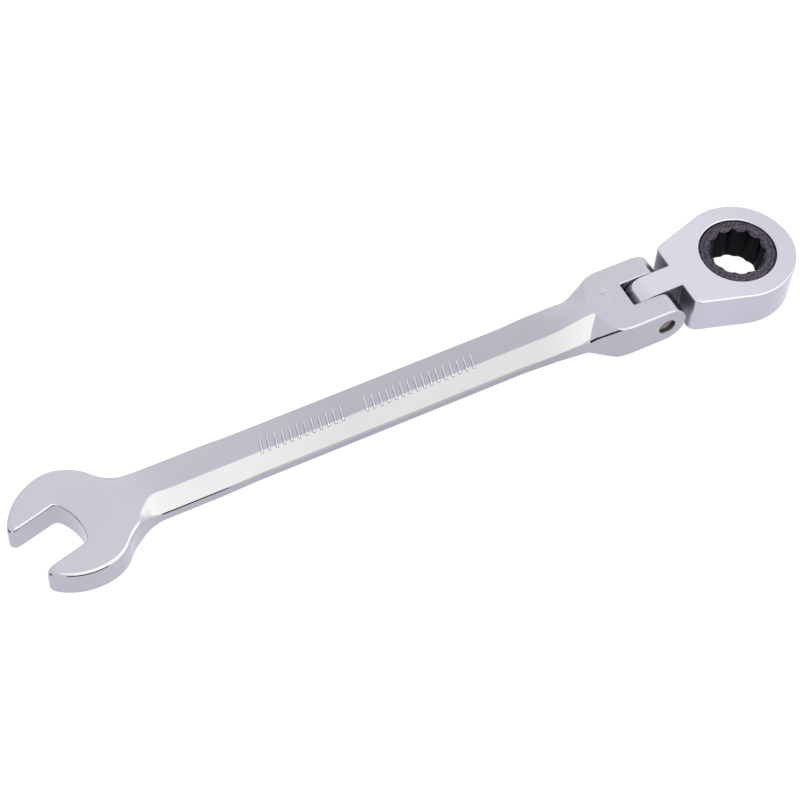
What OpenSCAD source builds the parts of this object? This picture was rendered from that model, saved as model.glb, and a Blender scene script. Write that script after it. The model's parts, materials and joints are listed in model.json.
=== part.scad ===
// Flex-head combination ratchet wrench, 10 mm across flats.
// Origin: centre of the ratchet ring, at mid thickness. +Z: the ring's turning axis, out of the marked face.
// The handle runs along -X, to the open jaw.

/* [Ring head] */
// Across flats of the 12-point socket and of the open jaw
across_flats = 10; // [9.8:0.1:10.2]
// Outer radius of the ring
ring_r = 11.8; // [11.6:0.1:13]
// Thickness of the ring and of the clevis
head_t = 8.9; // [8.6:0.1:10]
// Distance from the ring's axis to the shoulders behind it
shoulder_x = 14.5; // [14.4:0.1:15]
// Half of the head's width at its shoulders
shoulder_y = 7.8; // [7:0.1:8.2]
// Number of teeth round the drive gear
gear_teeth = 72; // [60:12:72]
// Angle at which the 12-point socket stands at rest
socket_angle = 8; // [0:1:29]

/* [Hinge] */
// Distance from the ring's axis to the hinge pin
hinge_x = 20.3; // [20.2:0.1:21]
// Radius of the hinge pin
pin_r = 1.75; // [1.5:0.05:2]
// Width of the tongue between the two ears
tongue_w = 5.36; // [5:0.02:5.5]
// Radius of the ears' round nose
ear_r = 4.4; // [4:0.05:4.45]
// Half of the clevis's width across both ears
clevis_y = 7.65; // [7.2:0.05:8]

/* [Handle] */
// Half of the shank's width
shank_y = 5.3; // [4.6:0.1:5.5]
// How far the shank is set to the side of the hinge and the open end
shank_set = 0.5; // [0:0.1:0.6]
// Thickness of the shank along its middle
shank_t = 5; // [4.6:0.1:6]
// Height of the shank's upright edges
shank_edge = 2.4; // [2:0.1:3]
// Half of the width of the flat along the shank's middle
shank_flat = 1.5; // [1:0.1:2]
// Distance from the ring's axis to the middle of the open end
open_x = 141.5; // [130:0.5:160]
// Half of the open end's width across its jaw
open_y = 11.8; // [11.4:0.1:12.4]
// Thickness of the open end
open_t = 6.3; // [6:0.1:7]
// Angle of the open jaw to the handle
jaw_angle = 14.5; // [10:0.5:15]

/* [Hidden] */
$fn = 96;
run_gap = 0.05;        // radial clearance of every turning or sliding fit
past = 1;              // how far a cut runs past the face that it opens
chrome = [0.78, 0.78, 0.81];
dark_steel = [0.23, 0.2, 0.23];
spring_steel = [0.55, 0.56, 0.6];

half_t = head_t / 2;

// Drive gear, its chamber and its retaining ring
gear_r = 8.8;          // tip of the teeth
tooth_h = 0.45;        // height of a tooth
teeth_top = 2.9;       // upper end of the teeth
teeth_low = -3.4;      // lower end of the teeth
boss_r = 7.65;         // the plain boss above the teeth
gear_top = half_t - 0.1;
chamber_r = gear_r + 0.1;
lip_r = boss_r + 0.1;
groove_w = 0.24;       // turned line on the boss's end
groove_h = 0.1;
groove_r = 6.75;
lead_in = 0.5;         // depth of the cone that leads into the socket
socket_corner = across_flats / 2 / cos(30);
ring_clip_t = 0.7;
clip_top = teeth_low - run_gap;
clip_inner = 7.3;
low_boss_r = clip_inner - 0.15; // the plain boss below the teeth, inside the retaining ring
clip_outer = chamber_r + 0.45;
clip_gap = 3;
clip_angle = 205;

// Pawl, its pocket and its spring
pawl_back = 12.3;
pawl_travel = 0.6;
pawl_half_y = 4.5;
pawl_half_z = 2.85;
pocket_back = pawl_back + pawl_travel + 0.1;
pawl_spring_hole = 1.25;
pawl_spring_end = 17.3;
pawl_spring_in = 1.2;  // how far the spring stands into the pawl
mesh_gap = 0.08;

// Hinge
slot_half = tongue_w / 2 + 0.07;
slot_root = hinge_x + 5.3;
pin_half = clevis_y - 0.9;
countersink = 0.3;
detent_r = 1.5;
detent_hole = detent_r + run_gap;
detent_x = hinge_x + half_t + 0.02 + detent_r;
detent_end = 32;

// Handle
rise_start = 46;       // where the flat begins to rise towards the clevis
rise_end = 34;
swell_start = 38;      // where the sides begin to swell towards the clevis
swell_end = 28;
facet_start = 36.2;    // steep facets that close the flanks at the clevis
facet_end = 32.8;
facet_edge = 3.4;      // height of the upright edges where the facets start
ramp_steps = 5;
open_front = open_y + 0.6; // the open end's oval: half length towards the mouth
open_heel = open_y - 2.1;  // and towards the shank
near_fillet = 10;      // fillets between the open end and the shank
far_fillet = 9;
neck = 15;             // from the middle of the open end to the end of its fillets
tip_r = 1.6;           // the jaw's tips, rounded in plan
jaw_x = 142.64;        // middle of a 10 mm hexagon in the open jaw
jaw_y = -0.38;
throat_r = 10.5;       // arc at the bottom of the jaw
throat_depth = 1.5;    // bottom of the jaw behind its middle

// Point of the straight side's contact with a circle of radius r, seen from the corner x, y
function touch_angle(x, y, r) = atan2(y, x) - acos(r / norm([x, y]));

// Smooth step from 0 to 1
function ease(u) = (1 - cos(180 * u)) / 2;
function between(a, b, u) = a + (b - a) * u;

// Outline of the teeth, moved out by gap
function gear_points(gap) = [for (i = [0 : 2 * gear_teeth - 1])
    let (a = 180 * i / gear_teeth, r = gear_r + gap - (i % 2) * tooth_h) [r * cos(a), r * sin(a)]];

module twelve_point() {
    for (turn = [0, 30]) rotate(turn + 30) circle(r = socket_corner, $fn = 6);
}

// Upright plate between -z and +z
module plate(z) {
    translate([0, 0, -z]) linear_extrude(2 * z) children();
}

// Coil spring that starts at the origin and runs along -X
module coil(r, wire, length, turns, steps = 14, sides = 8) {
    rings = turns * steps;
    pts = [for (i = [0 : rings], j = [0 : sides - 1])
        let (a = 360 * i / steps, b = 360 * j / sides, reach = r + wire * cos(b))
        [-wire - (length - 2 * wire) * i / rings + wire * sin(b), reach * cos(a), reach * sin(a)]];
    skin = [for (i = [0 : rings - 1], j = [0 : sides - 1])
        let (k = (j + 1) % sides, p = i * sides, q = p + sides)
        each [[p + j, p + k, q + k], [p + j, q + k, q + j]]];
    start = [[for (j = [sides - 1 : -1 : 0]) j]];
    end = [[for (j = [0 : sides - 1]) rings * sides + j]];
    polyhedron(pts, concat(skin, start, end));
}

// Half of the handle's width, half of its height along the middle, its sideways set and half of the
// height of its upright edges, at distance x
function side_y(x) = between(shank_y, clevis_y, ease(part_of(x, swell_start, swell_end)));
function middle_z(x) = between(shank_t / 2, half_t, ease(part_of(x, rise_start, rise_end)));
function set_y(x) = shank_set * (1 - ease(part_of(x, rise_start, facet_end)));
function edge_z(x) = between(shank_edge, facet_edge, ease(part_of(x, rise_start, facet_start))) / 2;
function part_of(x, from, to) = max(0, min(1, (x - from) / (to - from)));

// Cross-section of the handle: flat middle, sloping flanks and upright edges
module section(x) {
    y = side_y(x);
    z = middle_z(x);
    edge = edge_z(x);
    translate([set_y(x), 0])
        polygon([[-y, -edge], [-shank_flat, -z], [shank_flat, -z], [y, -edge],
                 [y, edge], [shank_flat, z], [-shank_flat, z], [-y, edge]]);
}

// Straight piece of the handle from distance x towards the hinge
module bar(x, length) {
    translate([-x, 0, 0]) rotate([90, 0, 90]) linear_extrude(length) section(x);
}

module shank() {
    far_end = open_x - open_y / 2;
    bar(far_end, far_end - rise_start);
}

// The rise from the shank to the clevis
module ramp() {
    for (i = [0 : ramp_steps - 1]) hull() {
        bar(between(rise_start, facet_end, i / ramp_steps), 0.01);
        bar(between(rise_start, facet_end, (i + 1) / ramp_steps), 0.01);
    }
}

module clevis_outline() {
    steps = [for (i = [0 : 12]) between(facet_start, swell_end, i / 12)];
    nose = -hinge_x + ear_r;
    polygon(concat([for (x = steps) [-x, set_y(x) + side_y(x)]], [[nose, clevis_y], [nose, -clevis_y]],
                   [for (i = [12 : -1 : 0]) [-steps[i], set_y(steps[i]) - side_y(steps[i])]]));
}

module clevis() {
    intersection() {
        plate(half_t) clevis_outline();
        union() {
            translate([-hinge_x, 0, 0]) rotate([90, 0, 0])
                cylinder(h = 2 * clevis_y, r = ear_r, center = true);
            rotate([90, 0, 0]) plate(clevis_y) polygon([
                [-facet_start, -facet_edge / 2], [-facet_end, -half_t], [-hinge_x - 1, -half_t],
                [-hinge_x, -ear_r], [-hinge_x, ear_r], [-hinge_x - 1, half_t],
                [-facet_end, half_t], [-facet_start, facet_edge / 2]]);
        }
    }
}

// Oval of the open end, its long side across the jaw, blunter towards the mouth
module open_end_oval() {
    translate([-open_x, 0]) rotate(jaw_angle)
        polygon([for (a = [0 : 3 : 357]) [(cos(a) > 0 ? open_heel : open_front) * cos(a), open_y * sin(a)]]);
}

// One half of the open end with the start of the shank, the corner between them filled
module open_end_half(side, fillet) {
    intersection() {
        offset(r = -fillet) offset(delta = fillet) {
            open_end_oval();
            translate([-open_x, shank_set - shank_y]) square([2 * neck, 2 * shank_y]);
        }
        translate([-open_x - 2 * open_y, side < 0 ? -2 * open_y : 0])
            square([2 * open_y + neck, 2 * open_y]);
    }
}

module open_end_outline() {
    offset(r = tip_r) offset(delta = -tip_r) difference() {
        union() {
            open_end_half(-1, near_fillet);
            open_end_half(1, far_fillet);
        }
        translate([-jaw_x, jaw_y]) rotate(jaw_angle) {
            intersection() {
                translate([throat_depth - throat_r, 0]) circle(r = throat_r);
                translate([-throat_r, -across_flats / 2]) square([2 * throat_r, across_flats]);
            }
            translate([-2 * open_y, -across_flats / 2]) square([2 * open_y, across_flats]);
        }
    }
}

module handle() color(chrome) {
    difference() {
        union() {
            plate(open_t / 2) open_end_outline();
            shank();
            ramp();
            clevis();
        }
        translate([-slot_root, -slot_half, -half_t - past])
            cube([slot_root, 2 * slot_half, head_t + 2 * past]);
        translate([-hinge_x, 0, 0]) rotate([90, 0, 0])
            cylinder(h = 2 * clevis_y + 2 * past, r = pin_r, center = true);
        for (side = [-1, 1]) translate([-hinge_x, side * (clevis_y - countersink), 0])
            rotate([-side * 90, 0, 0])
                cylinder(h = countersink + 0.01, r1 = pin_r, r2 = pin_r + countersink);
        translate([-detent_end, 0, 0]) rotate([0, 90, 0])
            cylinder(h = detent_end - slot_root + past, r = detent_hole);
    }
}

module head_outline() {
    a = touch_angle(-shoulder_x, shoulder_y, ring_r);
    circle(r = ring_r);
    polygon([[-shoulder_x, -shoulder_y], ring_r * [cos(a), -sin(a)],
             ring_r * [cos(a), sin(a)], [-shoulder_x, shoulder_y]]);
}

module ratchet_head() color(chrome) {
    difference() {
        union() {
            plate(half_t) head_outline();
            translate([-hinge_x, -tongue_w / 2, -half_t])
                cube([hinge_x - shoulder_x + past, tongue_w, head_t]);
            translate([-hinge_x, 0, 0]) rotate([90, 0, 0])
                cylinder(h = tongue_w, r = half_t, center = true);
        }
        cylinder(h = head_t + 2 * past, r = lip_r, center = true);
        translate([0, 0, -half_t - past])
            cylinder(h = half_t + past + teeth_top + run_gap, r = chamber_r);
        translate([0, 0, clip_top - ring_clip_t - run_gap])
            cylinder(h = ring_clip_t + 2 * run_gap, r = clip_outer + 0.1);
        translate([-pocket_back, -pawl_half_y - run_gap, -pawl_half_z - run_gap])
            cube([pocket_back, 2 * (pawl_half_y + run_gap), 2 * (pawl_half_z + run_gap)]);
        translate([-pawl_spring_end, 0, 0]) rotate([0, 90, 0])
            cylinder(h = pawl_spring_end - pawl_back, r = pawl_spring_hole);
        translate([-hinge_x, 0, 0]) rotate([90, 0, 0])
            cylinder(h = 2 * tongue_w, r = pin_r + run_gap, center = true);
    }
}

module drive_gear() color(dark_steel) {
    cone = [socket_corner - 0.35, socket_corner + 0.15];
    difference() {
        union() {
            translate([0, 0, teeth_low]) linear_extrude(teeth_top - teeth_low)
                polygon(gear_points(0));
            cylinder(h = gear_top, r = boss_r);
            translate([0, 0, -gear_top]) cylinder(h = gear_top, r = low_boss_r);
        }
        plate(half_t + past) rotate(socket_angle) twelve_point();
        translate([0, 0, gear_top - lead_in]) cylinder(h = lead_in + 0.01, r1 = cone[0], r2 = cone[1]);
        translate([0, 0, -gear_top - 0.01]) cylinder(h = lead_in, r1 = cone[1], r2 = cone[0]);
        translate([0, 0, gear_top - groove_h]) difference() {
            cylinder(h = 2 * groove_h, r = groove_r + groove_w / 2);
            translate([0, 0, -past]) cylinder(h = 2 * past, r = groove_r - groove_w / 2);
        }
    }
}

module retaining_ring() color(spring_steel) {
    translate([0, 0, clip_top - ring_clip_t]) difference() {
        cylinder(h = ring_clip_t, r = clip_outer);
        translate([0, 0, -past]) cylinder(h = ring_clip_t + 2 * past, r = clip_inner);
        rotate(clip_angle) translate([0, -clip_gap / 2, -past])
            cube([2 * clip_outer, clip_gap, ring_clip_t + 2 * past]);
    }
}

module pawl() color(dark_steel) {
    difference() {
        translate([-pawl_back, -pawl_half_y, -pawl_half_z])
            cube([pawl_back - gear_r * 0.8, 2 * pawl_half_y, 2 * pawl_half_z]);
        plate(half_t) polygon(gear_points(mesh_gap));
        translate([-pawl_back - past, 0, 0]) rotate([0, 90, 0])
            cylinder(h = pawl_spring_in + past, r = pawl_spring_hole);
    }
}

module pawl_spring() color(spring_steel) {
    translate([-pawl_back + pawl_spring_in - 0.02, 0, 0])
        coil(0.9, 0.2, pawl_spring_end - pawl_back + pawl_spring_in - 0.04, 8);
}

module hinge_pin() color(spring_steel) {
    translate([-hinge_x, 0, 0]) rotate([90, 0, 0]) cylinder(h = 2 * pin_half, r = pin_r, center = true);
}

module detent_ball() color(spring_steel) {
    translate([-detent_x, 0, 0]) sphere(r = detent_r);
}

module detent_spring() color(spring_steel) {
    translate([-detent_x - detent_r - 0.02, 0, 0])
        coil(1.15, 0.22, detent_end - detent_x - detent_r - 0.04, 5);
}

handle();
ratchet_head();
drive_gear();
retaining_ring();
pawl();
pawl_spring();
hinge_pin();
detent_ball();
detent_spring();
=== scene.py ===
import json
import math

import bpy
import numpy as np
from mathutils import Matrix, Vector


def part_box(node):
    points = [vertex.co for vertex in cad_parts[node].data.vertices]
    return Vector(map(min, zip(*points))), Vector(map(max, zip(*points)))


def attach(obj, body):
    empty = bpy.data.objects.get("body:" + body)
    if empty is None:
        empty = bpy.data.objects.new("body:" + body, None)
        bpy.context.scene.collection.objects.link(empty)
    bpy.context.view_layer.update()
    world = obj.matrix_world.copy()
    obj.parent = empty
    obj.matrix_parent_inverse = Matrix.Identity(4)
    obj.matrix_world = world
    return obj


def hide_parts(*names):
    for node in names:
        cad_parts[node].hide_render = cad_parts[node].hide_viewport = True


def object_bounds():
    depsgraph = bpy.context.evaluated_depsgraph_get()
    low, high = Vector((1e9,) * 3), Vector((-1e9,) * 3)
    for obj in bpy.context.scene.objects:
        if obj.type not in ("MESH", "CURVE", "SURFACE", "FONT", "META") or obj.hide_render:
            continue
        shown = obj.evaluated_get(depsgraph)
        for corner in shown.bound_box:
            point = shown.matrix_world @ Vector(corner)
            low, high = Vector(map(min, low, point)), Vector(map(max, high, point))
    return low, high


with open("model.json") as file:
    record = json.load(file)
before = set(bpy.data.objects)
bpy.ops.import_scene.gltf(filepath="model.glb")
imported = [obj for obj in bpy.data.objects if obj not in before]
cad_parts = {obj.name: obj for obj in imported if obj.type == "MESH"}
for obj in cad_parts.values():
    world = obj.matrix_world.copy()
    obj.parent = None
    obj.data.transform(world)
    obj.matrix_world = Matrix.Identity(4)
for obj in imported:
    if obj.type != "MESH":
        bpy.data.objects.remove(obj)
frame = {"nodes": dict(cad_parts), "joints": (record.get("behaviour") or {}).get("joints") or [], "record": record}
cad_box = [[float(c) for c in corner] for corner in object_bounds()]

# Shapes are written in millimetres, and turned into metres when their meshes are made
MM = 0.001


# ---------------------------------------------------------------- sizes

def box_mm(node):
    """Lowest and highest corner of a CAD node, in millimetres."""
    low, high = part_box(node)
    return np.array(low) / MM, np.array(high) / MM


def joint(name):
    return next(j for j in frame["joints"] if j["name"] == name)


def mount(name):
    return next(m for m in frame["record"]["mounts"] if m["name"] == name)


# From the frame
HANDLE_LOW, HANDLE_HIGH = box_mm("handle")
HEAD_LOW, HEAD_HIGH = box_mm("ratchet_head")
GEAR_LOW, GEAR_HIGH = box_mm("drive_gear")
PIN_LOW, PIN_HIGH = box_mm("hinge_pin")
PIN_X = joint("head_flex")["pos_m"][0] / MM
PIN_R = (PIN_HIGH[2] - PIN_LOW[2]) / 2
HALF_T = HEAD_HIGH[2]                     # half of the ring's thickness
EAR_R = HANDLE_HIGH[0] - PIN_X
JAW = np.array(mount("open_jaw")["pos_m"]) / MM
MOUTH = np.array(mount("open_jaw")["axis"])
FLATS = 5.0                               # from the middle of the jaw or socket to a flat

# Handle. A pair of numbers along X says where something starts and where it is full.
SHANK_Y = 5.48                            # half width of the shank
SHANK_SET = 0.5                           # the shank stands this far to the +Y side
SHANK_Z = 2.5                             # half thickness of the shank along its flat
SHANK_EDGE = 1.2                          # half height of its upright edges
TALLER_EDGE = 0.5                         # what they gain where the flat rises to the clevis
CLEVIS_Y = 7.65                           # half width of the clevis
RISE = (-46.0, -34.0)                     # the flat rises to the clevis
EDGE_RISE = (-46.0, -36.0)                # the upright edges rise to the clevis
SET_END = -32.8                           # the shank's shift to one side ends here
SWELL = (-38.0, -28.0)                    # the sides swell to the clevis
OPEN_Z = 3.15                             # half thickness of the open end
OPEN_RISE = (-122, -132)                  # the flat rises to the open end
OPEN_X = -141.5                           # middle of its oval
OPEN_Y = 11.8                             # half width of its oval, across the jaw
OPEN_FRONT = 12.4                         # half length towards the mouth
OPEN_HEEL = 9.7                           # half length towards the shank
FILLETS = {-1: 10.0, 1: 9.0}              # from the open end to the shank, on the -Y and +Y side

# Its flat, and the flanks beside it
FLAT_Y = 1.5                              # half width of the flat
NEAR_WIDENS = ((-127.1, 1.0, 0.5),        # how it widens on the -Y side: from X, slope, softness
               (-130.8, 1.6, 0.3))
FAR_WIDER = 2.2                           # the flat is this much wider on the +Y side at FAR_X
FAR_X = -132.5
FAR_GROWTH = 2.6                          # and that grows e times over this length
NEAR_BEND = 0.22                          # softness of the bend from flat to flank, on the -Y side
NEAR_BEND_MORE = 0.25                     # what it gains there at the open end
NEAR_BEND_RISE = (-126, -129)
FAR_BEND = 0.5                            # softness on the +Y side

# The steep facet between the flanks and the clevis's top
FACET_X = -33.5                           # where it reaches the top on the middle line
FACET_SLOPE = 0.6
FACET_BOW = 0.024                         # it bows back by this times y to the power below
FACET_POWER = 2.4
FACET_BEND = 0.05                         # softness of the bend at its foot
FACET_BEND_MORE = 0.45                    # what it gains over FACET_BEND_Y
FACET_BEND_Y = (0, 3)
TOP_BEND = 0.03                           # softness of the bend at its top

# Radius of its outer edges, and what is added along X
EDGE_R = 0.4
EDGE_MORE = ((0.2, -112, -118),           # radius, start, full
             (0.15, -126, -132),
             (0.1, -36, -32))
TOP_EDGE_MORE = ((0.35, -38.5, -35.5, -33, -30),          # radius, start, full, fading, end
                 (0.35, -39, -37, -36, -34))
SHANK_EDGE_MORE = (0.7, -118, -106, -52, -44)

# Jaw
THROAT_R = 10.5
THROAT_OUT = 9.0                          # from the jaw's middle to the middle of the throat's arc
THROAT_CORNER_R = 0.7
TIP_R = 1.6                               # of the jaw's tips, seen from above
TIP_EDGE_MORE = 0.6                       # what the edges' radius gains round a tip
TIP_REACH = 2.5                           # and how far from the tip
MOUTH_EDGE_R = 0.4
MOUTH_BLEND = 2                           # over this length the outer radius turns into it

# Clevis
SLOT_Y = 2.75                             # half width of its slot
SLOT_X = PIN_X - 5.3                      # root of its slot
SLOT_CORNER_R = 0.3
SLOT_EDGE_R = 0.2
EAR_BORE_EDGE_R = 0.22
DETENT_R = 1.55                           # bore for the detent's ball and spring
DETENT_END = -32
DETENT_EDGE_R = 0.15

# Raised marks
SLOPING = 0.3                             # share of a line's width that each side slopes over
SUNK = 0.1                                # how far its foot is below the handle's skin
BAR_ROWS = ((-104.3, 12), (-82.5, 16))    # X of the first bar, and number of bars
BAR_PITCH = 1.52
BAR_Y = SHANK_SET - 0.35                  # middle of a bar
BAR_LEAN = 0.4                            # half length of a bar along X
BAR_HALF = 1.6                            # half length of a bar along Y
BAR_WIDTH = 0.7
BAR_RELIEF = 0.18
ARROW = (((-29.75, -1.6), (-29.15, 3.0)),                 # shaft
         ((-28.45, 1.9), (-29.15, 3.1)),                  # barbs
         ((-29.95, 2.05), (-29.2, 3.1)))
ARROW_WIDTH = 0.6
ARROW_RELIEF = 0.12

# Hinge pin
PIN_EDGE_R = 0.2
DISH_R = 3.0                              # radius of the hollow in each end
DISH_OUT = 2.6                            # its centre is this far outside the end
DISH_EDGE_R = 0.1

# Ratchet head
RING_TRIM = 0.12                          # the rounded ring fits the photo when it is smaller
RING_R = HEAD_HIGH[0] - RING_TRIM
SHOULDER_X = -14.5
SHOULDER_Y = 7.8
SHOULDER_CORNER_R = 1.4
TONGUE_Y = 2.68
TONGUE_ROOT = 3                           # how far the tongue reaches into the ring
TONGUE_CORNER_R = 0.15
TONGUE_EDGE_R = 0.2
RING_EDGE_MORE = 0.12                     # what the edges' radius gains on the ring
FAR_EDGE_MORE = 0.55                      # and on the ring's +Y side
FAR_EDGE_Y = (-4, 4)
PIN_PLAY = 0.05
TONGUE_BORE_EDGE_R = 0.15
LIP_R = 7.75
CHAMBER_R = 8.9
CHAMBER_TOP = 2.95
CHAMBER_EDGE_R = 0.25
GROOVE_R = 9.45                           # groove of the retaining ring
GROOVE_Z = -3.8
GROOVE_HALF = 0.4
GROOVE_EDGE_R = 0.1

# Drive gear
BOSS_R = 7.65
LOW_BOSS_R = 7.15
LOW_EDGE = 0.2                            # chamfer of the lower boss
TEETH_TOP = 2.9
TEETH_LOW = -3.4
TEETH_TIP = 8.8
TEETH_ROOT = 8.35
TOOTH = 360 / 72                          # degrees from one tooth to the next
HALF_SIDE = 30                            # degrees from a hexagon's flat to its corner
SOCKET_TURN = 8.0                         # degrees
CONE_DEPTH = 0.5
CONE_R = (5.42, 5.92)                     # its radius at the bottom and at the face
CONE_STEPS = (0, 0.14, 0.28, 0.42, 0.56, 0.7)             # shares of its depth, from the bottom
BELOW_CONE = 0.02                         # the socket's plain walls start this far below the cone
LINE_R = 6.75                             # turned line on the face
# Sections of the face's details: outwards from their radius, and down from the face
CONE_EDGE = ((-0.06, 0.06), (0.04, 0))
TURNED_LINE = ((-0.12, 0), (-0.04, 0.1), (0.04, 0.1), (0.12, 0))
BOSS_CORNER = ((-0.25, 0.02), (0, 0.27))
GEAR_COLUMNS = 288                        # four for each tooth

# Mesh attribute that holds painted shade, from 0 to 1, on walls in slots, bores and crevices. Lengths are from a
# wall's own line.
PAINTED_SHADE = "painted_shade"
MARK_FULL = 0.05                          # to where the mark is full
SLOT_FADE = 0.15                          # to where it ends: at the slot
BORE_FADE = 0.2                           # at the pin's bore
HEAD_FADE = 0.25                          # at the head's walls
SLOT_ROOT_X = (SLOT_X + 2.6, SLOT_X + 0.6)                # the slot is less marked at its root
SLOT_ROOT_LESS = 0.5
ROUND_END_X = (PIN_X - 2.9, PIN_X - 3.4)                  # lower part of the tongue's round end, which gets painted shade
ROUND_END_SHADE = 0.35


# ---------------------------------------------------------------- rounded solids as formulas

def round_max(a, b, r):
    """Overlap of two solids, its edge rounded to radius r. A solid is negative inside."""
    return np.minimum(np.maximum(a, b), -r) + np.hypot(np.maximum(a + r, 0), np.maximum(b + r, 0))


def round_min(a, b, r):
    """Union of two solids, its inner corner filled to radius r."""
    return -round_max(-a, -b, r)


def ease(u):
    """Smooth step from 0 to 1."""
    return (1 - np.cos(np.pi * np.clip(u, 0, 1))) / 2


def rising(x, start, full):
    """Smooth step from 0 at the start to 1 where it is full, which may lie to either side."""
    return ease((x - start) / (full - start))


def along(height, x, start, full, fading, end):
    """The height from full to fading, and 0 before the start and past the end."""
    return height * rising(x, start, full) * ease((end - x) / (end - fading))


def soft_ramp(t, width):
    """0 below zero and t above it, with a soft bend."""
    return width * np.logaddexp(0, t / width)


def blend_max(a, b, width):
    """Higher of two heights, with a soft bend where they cross."""
    return a + soft_ramp(b - a, width)


# ---------------------------------------------------------------- meshes of formulas

def gradient(solid, p):
    """How a formula's value changes at each point, from differences over a small step."""
    h = 1e-3
    g = np.empty_like(p)
    for k in range(3):
        step = np.zeros(3)
        step[k] = h
        g[:, k] = (solid(*(p + step).T) - solid(*(p - step).T)) / (2 * h)
    return g


def onto_surface(solid, p, rounds, reach):
    """Moves points along the gradient until they lie on the surface."""
    least = 0.05                          # keeps the move finite where the gradient vanishes
    for _ in range(rounds):
        g = gradient(solid, p)
        move = -solid(*p.T) / np.maximum((g ** 2).sum(1), least)
        p = p + g * np.clip(move, -reach, reach)[:, None]
    return p


def surface_quads(value):
    """Cells that the surface passes through, and the quads that join them."""
    inside = value < 0
    nx, ny, nz = (n - 1 for n in inside.shape)
    count = sum(inside[i: nx + i, j: ny + j, k: nz + k].astype(np.int8)
                for i in (0, 1) for j in (0, 1) for k in (0, 1))
    cells = np.argwhere((count > 0) & (count < 8))
    number = np.full(count.shape, -1, np.int32)
    number[tuple(cells.T)] = np.arange(len(cells))
    quads = []
    for axis in range(3):
        u, v = (axis + 1) % 3, (axis + 2) % 3
        change = np.diff(inside.astype(np.int8), axis=axis)
        at = np.argwhere(change)
        sign = change[tuple(at.T)]
        ring = []
        for du, dv in ((0, 0), (-1, 0), (-1, -1), (0, -1)):
            cell = at.copy()
            cell[:, u] += du
            cell[:, v] += dv
            ring.append(number[tuple(cell.T)])
        ring = np.stack(ring, 1)
        ring[sign > 0] = ring[sign > 0][:, ::-1]
        quads.append(ring)
    return cells, np.concatenate(quads)


def relax(solid, p, quads, rounds, reach):
    """Evens out the points along the surface."""
    share = 0.6                           # of the way to the middle of a point's neighbours
    edges = np.concatenate([quads[:, [i, (i + 1) % 4]] for i in range(4)])
    start, end = edges.T
    degree = np.bincount(edges.ravel(), minlength=len(p))[:, None]
    for _ in range(rounds):
        total = np.zeros_like(p)
        for k in range(3):
            total[:, k] = (np.bincount(start, p[end, k], len(p))
                           + np.bincount(end, p[start, k], len(p)))
        p = onto_surface(solid, p + share * (total / degree - p), 1, reach)
    return p


def piece_from(name, points, faces, body, normals=None):
    """A smooth-shaded piece that moves with a CAD body. Its points are in metres."""
    mesh = bpy.data.meshes.new(name)
    mesh.from_pydata(points.tolist(), [], faces.tolist() if hasattr(faces, "tolist") else faces)
    mesh.validate()
    mesh.shade_smooth()
    if normals is not None:
        mesh.normals_split_custom_set_from_vertices(normals.tolist())
    piece = bpy.data.objects.new(name, mesh)
    bpy.context.collection.objects.link(piece)
    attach(piece, body)
    return piece


def mark_painted_shade(piece, amounts):
    """Stores how much painted shade each point gets, from 0 to 1."""
    piece.data.attributes.new(PAINTED_SHADE, "FLOAT", "POINT").data.foreach_set("value", amounts)


def forged(name, solid, low, high, step, body, shaded_part=None):
    """A closed mesh of a formula's surface, with the formula's own normals. Its last argument gives
    how much painted shade each point gets."""
    margin = 4 * step
    axes = [np.arange(a - margin, b + margin, step) for a, b in zip(low, high)]
    value = solid(*np.meshgrid(*axes, indexing="ij", sparse=True))
    cells, quads = surface_quads(value)
    start = np.array([a[0] for a in axes])
    p = start + (cells + 0.5) * step
    p = onto_surface(solid, p, rounds=4, reach=step)
    p = relax(solid, p, quads, rounds=6, reach=step / 2)
    p = onto_surface(solid, p, rounds=3, reach=step / 2)
    normal = gradient(solid, p)
    normal /= np.linalg.norm(normal, axis=1)[:, None]
    piece = piece_from(name, p * MM, quads, body, normal)
    if shaded_part is not None:
        mark_painted_shade(piece, shaded_part(p))
    return piece


# ---------------------------------------------------------------- handle

def side_y(x):
    """Half width of the shank and the clevis along X."""
    return SHANK_Y + (CLEVIS_Y - SHANK_Y) * rising(x, *SWELL)


def set_y(x):
    """How far the handle's middle line stands to the +Y side."""
    return SHANK_SET * (1 - rising(x, RISE[0], SET_END))


def oval(x, y):
    """Distance to the open end's oval, close to true near its edge."""
    forth = (x - OPEN_X) * MOUTH[0] + y * MOUTH[1]
    across = (x - OPEN_X) * MOUTH[1] - y * MOUTH[0]
    length = np.where(forth > 0, OPEN_FRONT, OPEN_HEEL)
    reach = np.hypot(forth / length, across / OPEN_Y)
    slope = np.hypot(forth / length ** 2, across / OPEN_Y ** 2)
    return reach * (reach - 1) / np.maximum(slope, 1e-6)


def fillet_corner(side, r):
    """Centre of a fillet between the shank's edge and the oval, and the way from it to where it
    meets the oval."""
    turn = np.linspace(0, 2 * np.pi, 4000)
    forth = np.where(np.cos(turn) > 0, OPEN_FRONT, OPEN_HEEL) * np.cos(turn)
    across = OPEN_Y * np.sin(turn)
    oval_x = OPEN_X + forth * MOUTH[0] + across * MOUTH[1]
    oval_y = forth * MOUTH[1] - across * MOUTH[0]
    y = SHANK_SET + side * (SHANK_Y + r)
    low, high = OPEN_X, OPEN_X + 40       # X lies between these, and each round halves the way
    for _ in range(40):
        x = (low + high) / 2
        gap = np.hypot(oval_x - x, oval_y - y)
        low, high = (low, x) if gap.min() > r else (x, high)
    nearest = gap.argmin()
    return x, y, oval_x[nearest] - x, oval_y[nearest] - y


CORNERS = {side: fillet_corner(side, r) for side, r in FILLETS.items()}


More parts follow.
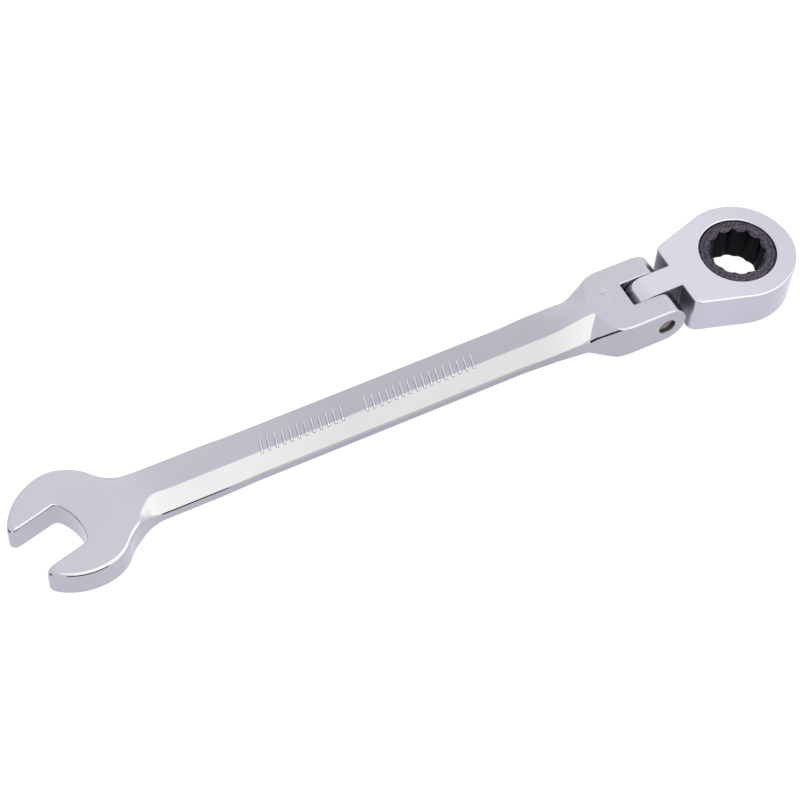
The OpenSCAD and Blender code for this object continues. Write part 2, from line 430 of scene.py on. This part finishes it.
def handle_outline(x, y):
    """Distance to the handle's outline in plan."""
    straight = np.maximum(np.abs(y - set_y(x)) - side_y(x), OPEN_X - x)
    outline = np.minimum(oval(x, y), straight)
    for side, (corner_x, corner_y, touch_x, touch_y) in CORNERS.items():
        dx, dy = x - corner_x, y - corner_y
        past_touch = side * (touch_x * dy - touch_y * dx) > 0
        within = (dx < 0) & past_touch & (side * (y - SHANK_SET) > 0)
        outline = np.where(within, FILLETS[side] - np.hypot(dx, dy), outline)
    return outline


def flat_y(x, y):
    """Half width of the flat, which widens to the open end, on each side in its own way."""
    near = sum(slope * soft_ramp(start - x, soft) for start, slope, soft in NEAR_WIDENS)
    far = FAR_WIDER * np.exp(np.clip((FAR_X - x) / FAR_GROWTH, -20, 3))
    return FLAT_Y + np.where(y < 0, near, far)


def handle_height(x, y):
    """Half thickness of the handle, y measured from its middle line: a flat with sloping flanks
    along the shank, steep facets where it meets the clevis, a flat open end."""
    ay = np.abs(y)
    middle = (SHANK_Z + (HALF_T - SHANK_Z) * rising(x, *RISE)
              + (OPEN_Z - SHANK_Z) * rising(x, *OPEN_RISE))
    edge = SHANK_EDGE + TALLER_EDGE * rising(x, *EDGE_RISE)
    bend = np.where(y < 0, NEAR_BEND + NEAR_BEND_MORE * rising(x, *NEAR_BEND_RISE), FAR_BEND)
    flank = middle - (middle - edge) / (SHANK_Y - FLAT_Y) * soft_ramp(ay - flat_y(x, y), bend)
    facet = HALF_T + FACET_SLOPE * (x - FACET_X - FACET_BOW * ay ** FACET_POWER)
    facet_bend = FACET_BEND + FACET_BEND_MORE * rising(y, *FACET_BEND_Y)
    return -blend_max(-middle, -blend_max(flank, facet, facet_bend), TOP_BEND)


def jaw_mouth(x, y):
    """Distance to the jaw's opening in plan, negative inside it."""
    out = (x - JAW[0]) * MOUTH[0] + (y - JAW[1]) * MOUTH[1]
    across = (x - JAW[0]) * MOUTH[1] - (y - JAW[1]) * MOUTH[0]
    throat = np.hypot(np.minimum(out - THROAT_OUT, 0), across) - THROAT_R
    return round_max(np.abs(across) - FLATS, throat, THROAT_CORNER_R)


def outer_edge_r(x, z):
    """Radius of the handle's outer edges: fuller along the shank and at the open end, and on the
    top where it rises to the clevis."""
    r = EDGE_R
    for more, *where in EDGE_MORE:
        r = r + more * rising(x, *where)
    for more, *where in TOP_EDGE_MORE:
        r = r + (z > 0) * along(more, x, *where)
    more, *where = SHANK_EDGE_MORE
    return r + along(more, x, *where)


def handle_edge_r(x, z, outline, mouth):
    """Radius of the handle's edges: the mouth has its own, and the jaw's tips are rounder."""
    outer = outer_edge_r(x, z)
    to_mouth = ease((-mouth - outline) / MOUTH_BLEND)
    to_tip = ease(1 - np.hypot(outline, mouth) / TIP_REACH)
    return outer + (MOUTH_EDGE_R - outer) * to_mouth + TIP_EDGE_MORE * to_tip


def handle_solid(x, y, z):
    """The handle, with its jaw, the clevis's slot, the pin's bore and the detent's bore."""
    ay, az = np.abs(y), np.abs(z)
    outline = handle_outline(x, y)
    mouth = jaw_mouth(x, y)
    plan = round_max(outline, -mouth, TIP_R)
    ear = np.hypot(x - PIN_X, az) - EAR_R
    thick = np.where(x > PIN_X, ear, az - handle_height(x, y - set_y(x)))
    solid = round_max(plan, thick, handle_edge_r(x, z, outline, mouth))
    slot = round_max(ay - SLOT_Y, SLOT_X - x, SLOT_CORNER_R)
    solid = round_max(solid, -slot, SLOT_EDGE_R)
    solid = round_max(solid, PIN_R - np.hypot(x - PIN_X, z), EAR_BORE_EDGE_R)
    detent = np.maximum(np.hypot(y, z) - DETENT_R, DETENT_END - x)
    return round_max(solid, -detent, DETENT_EDGE_R)


def slot_painted_shade(p):
    """Painted shade: 1 on the walls of the clevis's slot and of the pin's bore, less at the slot's
    root, and 0 on the rest of the handle."""
    x, y, z = p.T
    slot = (rising(np.abs(y), SLOT_Y + SLOT_FADE, SLOT_Y - MARK_FULL)
            * rising(x, SLOT_X - SLOT_FADE, SLOT_X + MARK_FULL)
            * (1 - SLOT_ROOT_LESS * rising(x, *SLOT_ROOT_X)))
    bore = rising(np.hypot(x - PIN_X, z), PIN_R + BORE_FADE, PIN_R + MARK_FULL)
    return np.maximum(slot, bore)


# ---------------------------------------------------------------- raised marks

def resample(path, step):
    """Points along a path, about one step apart."""
    points = [np.array(path[0], float)]
    for start, end in zip(path, path[1:]):
        count = max(1, round(math.dist(start, end) / step))
        way = np.array(end) - start
        points += [np.array(start) + way * (i + 1) / count for i in range(count)]
    return np.array(points)


def band_points(path, width, relief):
    """Rows of four points across a band that lies on the handle's top along a path in plan."""
    line = resample(path, 0.3)
    way = np.gradient(line, axis=0)
    way /= np.linalg.norm(way, axis=1)[:, None]
    across = np.array([-width / 2, width * SLOPING - width / 2,
                       width / 2 - width * SLOPING, width / 2])
    x = line[:, :1] - way[:, 1:] * across
    y = line[:, 1:] + way[:, :1] * across
    z = handle_height(x, y - set_y(x)) + np.array([-SUNK, relief, relief, -SUNK])
    return np.stack([x, y, z], 2).reshape(-1, 3)


def band_faces(first, rows):
    """Faces of a closed band, whose points start at number first."""
    faces = []
    for i in range(rows - 1):
        a, b = first + 4 * i, first + 4 * i + 4
        faces += [(a + k, b + k, b + (k + 1) % 4, a + (k + 1) % 4) for k in range(4)]
    last = first + 4 * (rows - 1)
    return faces + [(first, first + 1, first + 2, first + 3), (last + 3, last + 2, last + 1, last)]


def raised_lines(name, paths, width, relief):
    """Closed raised bands with sloping sides, with painted shade at their feet."""
    points, faces = [], []
    for path in paths:
        band = band_points(path, width, relief)
        faces += band_faces(sum(len(p) for p in points), len(band) // 4)
        points.append(band)
    points = np.concatenate(points)
    piece = piece_from(name, points * MM, faces, "handle")
    # painted shade at each band's two feet, none on its top
    mark_painted_shade(piece, np.tile((1.0, 0.0, 0.0, 1.0), len(points) // 4))
    return sharp_by_angle(piece, degrees=25, bevel=0.03)


def bar_paths():
    """Two rows of plain slanted bars along the shank."""
    middles = [x for first, count in BAR_ROWS for x in first + BAR_PITCH * np.arange(count)]
    return [[(x - BAR_LEAN, BAR_Y - BAR_HALF), (x + BAR_LEAN, BAR_Y + BAR_HALF)] for x in middles]


# ---------------------------------------------------------------- hinge pin and ratchet head

def pin_solid(x, y, z):
    """Hinge pin with dished ends."""
    r = np.hypot(x - PIN_X, z)
    solid = round_max(r - PIN_R, np.abs(y) - PIN_HIGH[1], PIN_EDGE_R)
    dish = np.hypot(r, np.abs(y) - PIN_HIGH[1] - DISH_OUT) - DISH_R
    return round_max(solid, -dish, DISH_EDGE_R)


def head_plan(x, y):
    """The head from above: the ring, straight sides from it to the shoulders, and the tongue."""
    ay = np.abs(y)
    reach = math.hypot(SHOULDER_X, SHOULDER_Y)
    touch = math.atan2(SHOULDER_Y, SHOULDER_X) - math.acos(RING_R / reach)
    past_touch = -x * math.sin(touch) + ay * math.cos(touch) > 0
    straight = x * math.cos(touch) + ay * math.sin(touch)
    side = np.where(past_touch, straight, np.hypot(x, ay)) - RING_R
    ring = round_max(side, SHOULDER_X - x, SHOULDER_CORNER_R)
    tongue = np.maximum(ay - TONGUE_Y, x - SHOULDER_X - TONGUE_ROOT)
    return round_min(ring, tongue, TONGUE_CORNER_R)


def head_edge_r(x, y):
    """Radius of the head's edges: small on the tongue, larger on the ring's +Y side."""
    ring_more = RING_EDGE_MORE + FAR_EDGE_MORE * rising(y, *FAR_EDGE_Y)
    return TONGUE_EDGE_R + rising(x, SHOULDER_X, SHOULDER_X + 1) * ring_more


def head_solid(x, y, z):
    """The head, with the pin's bore, the gear's lip and chamber, and the retaining ring's groove."""
    from_pin = np.hypot(x - PIN_X, z)
    thick = np.where(x < PIN_X, from_pin, np.abs(z)) - HALF_T
    solid = round_max(head_plan(x, y), thick, head_edge_r(x, y))
    solid = round_max(solid, PIN_R + PIN_PLAY - from_pin, TONGUE_BORE_EDGE_R)
    r = np.hypot(x, y)
    solid = round_max(solid, LIP_R - r, CHAMBER_EDGE_R)
    chamber = np.maximum(r - CHAMBER_R, z - CHAMBER_TOP)
    solid = round_max(solid, -chamber, CHAMBER_EDGE_R)
    groove = np.maximum(r - GROOVE_R, np.abs(z - GROOVE_Z) - GROOVE_HALF)
    return round_max(solid, -groove, GROOVE_EDGE_R)


def head_painted_shade(p):
    """Painted shade: 1 on the shoulders and the tongue's sides, less on the lower part of its round
    end, and 0 on the rest of the head."""
    x, y, _ = p.T
    shoulder = rising(x, SHOULDER_X + HEAD_FADE, SHOULDER_X - MARK_FULL)
    off_top = rising(np.abs(y), TONGUE_Y - HEAD_FADE, TONGUE_Y - MARK_FULL)
    round_end = ROUND_END_SHADE * rising(x, *ROUND_END_X)
    return shoulder * np.maximum(off_top, round_end)


# ---------------------------------------------------------------- drive gear

def lathe(name, loops, body, columns):
    """A closed skin through loops of points, each a function of the angle that gives r and z."""
    angles = 2 * np.pi * np.arange(columns) / columns
    rows = []
    for loop in loops:
        r, z = (np.broadcast_to(value, angles.shape) for value in loop(angles))
        rows.append(np.stack([r * np.cos(angles), r * np.sin(angles), z], 1))
    points = np.concatenate(rows)
    faces = []
    for i in range(len(loops)):
        j = (i + 1) % len(loops)
        for c in range(columns):
            d = (c + 1) % columns
            faces.append((i * columns + c, i * columns + d, j * columns + d, j * columns + c))
    return piece_from(name, points * MM, faces, body)


def circle(r, z):
    """Plain round loop."""
    return lambda angle: (r, z)


def socket(z):
    """12-point outline: two hexagons turned 30 degrees from each other."""
    def loop(angle):
        from_corner = np.abs((np.degrees(angle) + HALF_SIDE / 2) % HALF_SIDE - HALF_SIDE / 2)
        return FLATS / np.cos(np.radians(HALF_SIDE - from_corner)), z
    return loop


def coned(z, cone_r):
    """The socket's outline where the cone has opened it to the given radius."""
    outline = socket(z)
    return lambda angle: (np.maximum(outline(angle)[0], cone_r), z)


def teeth(z):
    """Loop that goes out and in once for each tooth."""
    def loop(angle):
        phase = np.abs((np.degrees(angle) % TOOTH) / (TOOTH / 2) - 1)
        return TEETH_ROOT + (TEETH_TIP - TEETH_ROOT) * phase, z
    return loop


def sharp_by_angle(piece, degrees, bevel):
    """Small rounded edges where faces meet at more than the given angle."""
    mod = piece.modifiers.new("edges", "BEVEL")
    mod.width = bevel * MM
    mod.segments = 2
    mod.limit_method = "ANGLE"
    mod.angle_limit = math.radians(degrees)
    mod.harden_normals = True
    return piece


def gear_loops():
    """The gear's section: from the socket's wall over the face, the teeth and the lower boss."""
    low, top = GEAR_LOW[2], GEAR_HIGH[2]
    depths = [CONE_DEPTH * (1 - share) for share in CONE_STEPS]
    cone = [(depth, CONE_R[1] + (CONE_R[0] - CONE_R[1]) * depth / CONE_DEPTH) for depth in depths]
    wall = CONE_DEPTH + BELOW_CONE
    loops = [socket(top - wall)]
    loops += [coned(top - depth, r) for depth, r in cone]
    for r, section in ((CONE_R[1], CONE_EDGE), (LINE_R, TURNED_LINE), (BOSS_R, BOSS_CORNER)):
        loops += [circle(r + out, top - down) for out, down in section]
    loops += [circle(BOSS_R, TEETH_TOP), teeth(TEETH_TOP), teeth(TEETH_LOW)]
    loops += [circle(LOW_BOSS_R, TEETH_LOW), circle(LOW_BOSS_R, low + LOW_EDGE)]
    loops += [circle(LOW_BOSS_R - LOW_EDGE, low)]
    loops += [circle(CONE_R[1] + out, low + up) for out, up in reversed(CONE_EDGE)]
    loops += [coned(low + depth, r) for depth, r in reversed(cone)]
    return loops + [socket(low + wall)]


def make_gear():
    """The gear, its bore marked with painted shade, turned to the photo's angle."""
    gear = lathe("gear_ring", gear_loops(), "drive_gear", GEAR_COLUMNS)
    x, y, _ = np.array([v.co for v in gear.data.vertices]).T / MM
    socket_r, _ = socket(0)(np.arctan2(y, x))
    # painted shade on the socket's walls
    mark_painted_shade(gear, (np.hypot(x, y) < socket_r + 0.01).astype(float))
    gear.data.transform(Matrix.Rotation(math.radians(SOCKET_TURN), 4, "Z"))
    return gear


# ---------------------------------------------------------------- materials

# Darkest and lightest colour of each metal
PLATE = ((0.55, 0.54, 0.60), (0.585, 0.575, 0.635))
# painted shade: the dark colour that slot, bore and crevice walls take
SHADE_COLOURS = ((0.13, 0.125, 0.14), (0.26, 0.25, 0.28))
OILED = ((0.015, 0.012, 0.018), (0.117, 0.102, 0.136))
PIN_METAL = ((0.13, 0.10, 0.08), (0.33, 0.27, 0.23))
RING_METAL = ((0.2, 0.2, 0.22), (0.3, 0.3, 0.33))
SPRING_METAL = ((0.4, 0.4, 0.42), (0.55, 0.55, 0.57))
BALL_METAL = ((0.5, 0.5, 0.52), (0.6, 0.6, 0.62))

# Painted light and shade: how bright the chrome is along X, as (millimetres, share)
HANDLE_PAINTED_LIGHT = ((-154, 0.87), (-134, 0.87), (-122, 0.78), (-80, 0.69), (-48, 0.68), (-34, 0.82))
MARKS_PAINTED_LIGHT = ((-110, 0.95), (-60, 0.95), (-34, 1))
HEAD_PAINTED_LIGHT = ((-26, 1), (-12, 1), (12, 0.9))

SHADED_ROUGHER = 0.4                        # added to the chrome's roughness where painted shade is
BORE_SHADE = 0.12                          # brightness of the painted shade in the gear's bore, next to its face


class Nodes:
    """Short names for building a material's nodes."""

    def __init__(self, name):
        self.material = bpy.data.materials.new(name)
        self.material.use_nodes = True
        self.tree = self.material.node_tree
        self.shader = self.tree.nodes["Principled BSDF"]

    def node(self, kind, **values):
        node = self.tree.nodes.new(kind)
        for key, value in values.items():
            if hasattr(node, key):
                setattr(node, key, value)
            else:
                node.inputs[key.replace("_", " ")].default_value = value
        return node

    def link(self, source, target):
        self.tree.links.new(source, target)

    def noise(self, scale, detail=3.0, stretch=(1, 1, 1)):
        where = self.node("ShaderNodeTexCoord").outputs["Object"]
        mapping = self.node("ShaderNodeMapping", Scale=stretch)
        self.link(where, mapping.inputs["Vector"])
        noise = self.node("ShaderNodeTexNoise", Scale=scale, Detail=detail)
        self.link(mapping.outputs[0], noise.inputs["Vector"])
        return noise.outputs["Fac"]

    def range(self, value, low, high):
        node = self.node("ShaderNodeMapRange", To_Min=low, To_Max=high)
        self.link(value, node.inputs["Value"])
        return node.outputs[0]

    def mix(self, fac, a, b):
        """Mix of two colours, each a plain colour or a node's output."""
        node = self.node("ShaderNodeMix", data_type="RGBA")
        self.link(fac, node.inputs["Factor"])
        for target, colour in ((node.inputs[6], a), (node.inputs[7], b)):
            if isinstance(colour, tuple):
                target.default_value = (*colour, 1)
            else:
                self.link(colour, target)
        return node.outputs[2]

    def multiply(self, a, b):
        node = self.node("ShaderNodeMix", data_type="RGBA", blend_type="MULTIPLY")
        node.inputs["Factor"].default_value = 1
        self.link(a, node.inputs[6])
        self.link(b, node.inputs[7])
        return node.outputs[2]

    def multiply_add(self, value, factor, more):
        node = self.node("ShaderNodeMath", operation="MULTIPLY_ADD")
        self.link(value, node.inputs[0])
        node.inputs[1].default_value = factor
        self.link(more, node.inputs[2])
        return node.outputs[0]

    def bump(self, height, distance, strength, before=None):
        node = self.node("ShaderNodeBump", Strength=strength, Distance=distance * MM)
        self.link(height, node.inputs["Height"])
        if before is not None:
            self.link(before, node.inputs["Normal"])
        return node.outputs[0]

    def painted_shade(self):
        return self.node("ShaderNodeAttribute", attribute_name=PAINTED_SHADE).outputs["Fac"]

    def along_x(self, stops):
        """Value that changes along the piece's own X, from stops of (millimetres, value)."""
        where = self.node("ShaderNodeTexCoord").outputs["Object"]
        split = self.node("ShaderNodeSeparateXYZ")
        self.link(where, split.inputs[0])
        first, last = stops[0][0], stops[-1][0]
        place = self.node("ShaderNodeMapRange", From_Min=first * MM, From_Max=last * MM)
        self.link(split.outputs["X"], place.inputs["Value"])
        ramp = self.node("ShaderNodeValToRGB")
        ramp.color_ramp.interpolation = "EASE"
        points = ramp.color_ramp.elements
        while len(points) < len(stops):
            points.new(0.5)
        for point, (x, value) in zip(points, stops):
            point.position = (x - first) / (last - first)
            point.color = (value, value, value, 1)
        self.link(place.outputs[0], ramp.inputs["Fac"])
        return ramp.outputs["Color"]


def chrome(name, painted_light):
    """Satin-polished chrome plate: faint polishing lines, slight waviness, cloudy roughness. Its second
    argument is painted light and shade: how bright it is along X. Walls with painted shade are dark
    and rougher."""
    m = Nodes(name)
    s = m.shader.inputs
    s["Metallic"].default_value = 1
    # plate colour, times the painted light and shade along X
    plate = m.multiply(m.mix(m.noise(90), *PLATE), m.along_x(painted_light))
    # dark colour of the painted shade, mixed in by the painted shade mask
    shade_colour = m.mix(m.noise(900), *SHADE_COLOURS)
    marked = m.painted_shade()
    m.link(m.mix(marked, plate, shade_colour), s["Base Color"])
    clouds = m.range(m.noise(240, detail=4, stretch=(0.3, 1, 1)), 0.07, 0.13)
    m.link(m.multiply_add(marked, SHADED_ROUGHER, clouds), s["Roughness"])
    waves = m.bump(m.noise(160, detail=2), distance=0.04, strength=0.2)
    lines = m.noise(2600, stretch=(0.04, 1, 1))
    m.link(m.bump(lines, distance=0.004, strength=0.2, before=waves), s["Normal"])
    return m.material


def dark_steel(name):
    """Phosphated steel with a thin film of oil, nearly black where it is marked with painted shade."""
    m = Nodes(name)
    s = m.shader.inputs
    s["Metallic"].default_value = 0.75
    s["Specular IOR Level"].default_value = 0.3
    s["Specular Tint"].default_value = (0.3, 0.3, 0.3, 1)
    grain = m.mix(m.range(m.noise(2600, detail=6), -0.75, 1.75), *OILED)
    # painted shade makes the marked bore nearly black
    m.link(m.multiply(grain, m.range(m.painted_shade(), 1, BORE_SHADE)), s["Base Color"])
    m.link(m.range(m.noise(500, detail=5), 0.28, 0.5), s["Roughness"])
    m.link(m.bump(m.noise(5200, detail=6), distance=0.02, strength=0.5), s["Normal"])
    return m.material


def plain_steel(name, colours):
    """Bare steel between a darkest and a lightest colour."""
    m = Nodes(name)
    s = m.shader.inputs
    s["Metallic"].default_value = 1
    m.link(m.mix(m.noise(700, detail=4), *colours), s["Base Color"])
    m.link(m.range(m.noise(900, detail=4), 0.2, 0.4), s["Roughness"])
    m.link(m.bump(m.noise(3000, detail=4), distance=0.01, strength=0.4), s["Normal"])
    return m.material


def paint(piece, material):
    piece.data.materials.clear()
    piece.data.materials.append(material)


# ---------------------------------------------------------------- the pieces

# Steps of the grids that the formulas are meshed on
STEP = 0.2
HANDLE_STEP = 1.25 * STEP
PIN_STEP = STEP / 2

handle = forged("handle_forging", handle_solid, HANDLE_LOW, HANDLE_HIGH, HANDLE_STEP, "handle",
                slot_painted_shade)
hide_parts("handle")
paint(handle, chrome("chrome_handle", HANDLE_PAINTED_LIGHT))

bars = raised_lines("shank_bars", bar_paths(), BAR_WIDTH, BAR_RELIEF)
arrow = raised_lines("clevis_arrow", ARROW, ARROW_WIDTH, ARROW_RELIEF)
marks_chrome = chrome("chrome_marks", MARKS_PAINTED_LIGHT)
for marks in (bars, arrow):
    paint(marks, marks_chrome)

head = forged("ratchet_head_housing", head_solid, HEAD_LOW, HEAD_HIGH, STEP, "ratchet_head",
              head_painted_shade)
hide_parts("ratchet_head")
paint(head, chrome("chrome_head", HEAD_PAINTED_LIGHT))

gear = sharp_by_angle(make_gear(), degrees=20, bevel=0.05)
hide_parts("drive_gear")
paint(gear, dark_steel("dark_gear"))

pin = forged("hinge_pin_dished", pin_solid, PIN_LOW, PIN_HIGH, PIN_STEP, "handle")
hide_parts("hinge_pin")
paint(pin, plain_steel("pin_steel", PIN_METAL))

# CAD nodes that keep their meshes
paint(frame["nodes"]["retaining_ring"], plain_steel("spring_steel", RING_METAL))
paint(frame["nodes"]["pawl"], dark_steel("pawl_steel"))
paint(frame["nodes"]["pawl_spring"], plain_steel("pawl_spring_steel", SPRING_METAL))
paint(frame["nodes"]["detent_ball"], plain_steel("ball_steel", BALL_METAL))
paint(frame["nodes"]["detent_spring"], plain_steel("detent_spring_steel", SPRING_METAL))


# ---------------------------------------------------------------- stage

FLOOR_GAP = 0.02                          # below the handle
FLOOR_Z = cad_box[0][2] / MM - FLOOR_GAP
FLOOR_HALF = 4000
FRONT_CARD = ((-260, -190), (-62, -190), 95)              # its two ends in plan, and its top
SIDE_CARD = ((-300, -70), (-300, 60), 60)


def stage_plane(name, corners, material):
    mesh = bpy.data.meshes.new(name)
    mesh.from_pydata([Vector(c) * MM for c in corners], [], [(0, 1, 2, 3)])
    plane = bpy.data.objects.new(name, mesh)
    bpy.context.collection.objects.link(plane)
    mesh.materials.append(material)
    return plane


def plain_material(name, colour, glow):
    """A matt material that glows evenly and answers little to the light that falls on it."""
    answer = 0.12
    m = Nodes(name)
    m.shader.inputs["Base Color"].default_value = (*(answer * c for c in colour), 1)
    m.shader.inputs["Roughness"].default_value = 0.9
    m.shader.inputs["Specular IOR Level"].default_value = 0.1
    m.shader.inputs["Emission Color"].default_value = (*colour, 1)
    m.shader.inputs["Emission Strength"].default_value = glow
    return m.material


def level(half, z):
    """Corners of a level square."""
    return [(-half, -half, z), (half, -half, z), (half, half, z), (-half, half, z)]


def upright(start, end, top):
    """Corners of an upright card that stands on the floor."""
    return [(*start, FLOOR_Z), (*end, FLOOR_Z), (*end, top), (*start, top)]


def only_reflected(plane):
    """Keeps a plane out of the picture, so that only reflections show it."""
    plane.visible_camera = False
    plane.visible_diffuse = False
    plane.visible_shadow = False


stage_plane("floor", level(FLOOR_HALF, FLOOR_Z), plain_material("floor", (1, 1, 1), 0.98))

# What the chrome sees of the floor: a little darker and cooler than the floor itself
only_reflected(stage_plane("floor_reflected", level(FLOOR_HALF, FLOOR_Z + FLOOR_GAP / 2),
                           plain_material("floor_reflected", (0.94, 0.93, 0.99), 0.9)))

# Dark cards low in front of the open end and beside it
card = plain_material("dark_card", (0.01, 0.008, 0.01), 0)
only_reflected(stage_plane("front_card", upright(*FRONT_CARD), card))
only_reflected(stage_plane("side_card", upright(*SIDE_CARD), card))


def light(tree, direction, start, full, low, high, colour):
    """Background whose strength goes from low to high as the way turns towards the direction.
    start and full are the cosines between which it does."""
    new, link = tree.nodes.new, tree.links.new
    dot = new("ShaderNodeVectorMath")
    dot.operation = "DOT_PRODUCT"
    link(new("ShaderNodeTexCoord").outputs["Generated"], dot.inputs[0])
    dot.inputs[1].default_value = Vector(direction).normalized()
    ramp = new("ShaderNodeMapRange")
    ramp.interpolation_type = "SMOOTHSTEP"
    ramp.inputs["From Min"].default_value = start
    ramp.inputs["From Max"].default_value = full
    ramp.inputs["To Min"].default_value = low
    ramp.inputs["To Max"].default_value = high
    link(dot.outputs["Value"], ramp.inputs["Value"])
    background = new("ShaderNodeBackground")
    background.inputs["Color"].default_value = (*colour, 1)
    link(ramp.outputs[0], background.inputs["Strength"])
    return background.outputs[0]


def light_world():
    """Soft studio: an even cool grey-white all round, and a large softbox overhead."""
    world = bpy.data.worlds.new("studio")
    bpy.context.scene.world = world
    world.use_nodes = True
    tree = world.node_tree
    room = light(tree, direction=(1, 0, 0), start=-1, full=1, low=1.1, high=1.3,
                 colour=(0.985, 0.985, 1))
    softbox = light(tree, direction=(0.35, -0.35, 0.87), start=0.72, full=0.84, low=0, high=0.75,
                    colour=(1, 1, 0.72))
    both = tree.nodes.new("ShaderNodeAddShader")
    tree.links.new(room, both.inputs[0])
    tree.links.new(softbox, both.inputs[1])
    tree.links.new(both.outputs[0], tree.nodes["World Output"].inputs["Surface"])


light_world()
bpy.context.scene.view_settings.view_transform = "Standard"


# ---------------------------------------------------------------- camera

CAMERA_AZIMUTH = math.radians(-31.224)
CAMERA_ELEVATION = math.radians(54.572)
CAMERA_ROLL = math.radians(4.428)
CAMERA_DISTANCE = 445.03 * MM
CAMERA_LENS = 105.7
CAMERA_SENSOR = 36
CAMERA_CLIP = 10 * MM
CAMERA_TARGET = Vector((-75.4, -0.37, 0)) * MM


def make_camera():
    """Camera at the photo's angle, rolled about its own axis."""
    back = Vector((math.sin(CAMERA_AZIMUTH) * math.cos(CAMERA_ELEVATION),
                   -math.cos(CAMERA_AZIMUTH) * math.cos(CAMERA_ELEVATION),
                   math.sin(CAMERA_ELEVATION)))
    right = Vector((0, 0, 1)).cross(back).normalized()
    up = back.cross(right)
    c, s = math.cos(CAMERA_ROLL), math.sin(CAMERA_ROLL)
    place = Matrix((c * right + s * up, c * up - s * right, back)).transposed().to_4x4()
    place.translation = CAMERA_TARGET + back * CAMERA_DISTANCE
    data = bpy.data.cameras.new("camera")
    data.lens = CAMERA_LENS
    data.sensor_width = CAMERA_SENSOR
    data.clip_start = CAMERA_CLIP
    camera = bpy.data.objects.new("camera", data)
    camera.matrix_world = place
    bpy.context.collection.objects.link(camera)
    bpy.context.scene.camera = camera


make_camera()
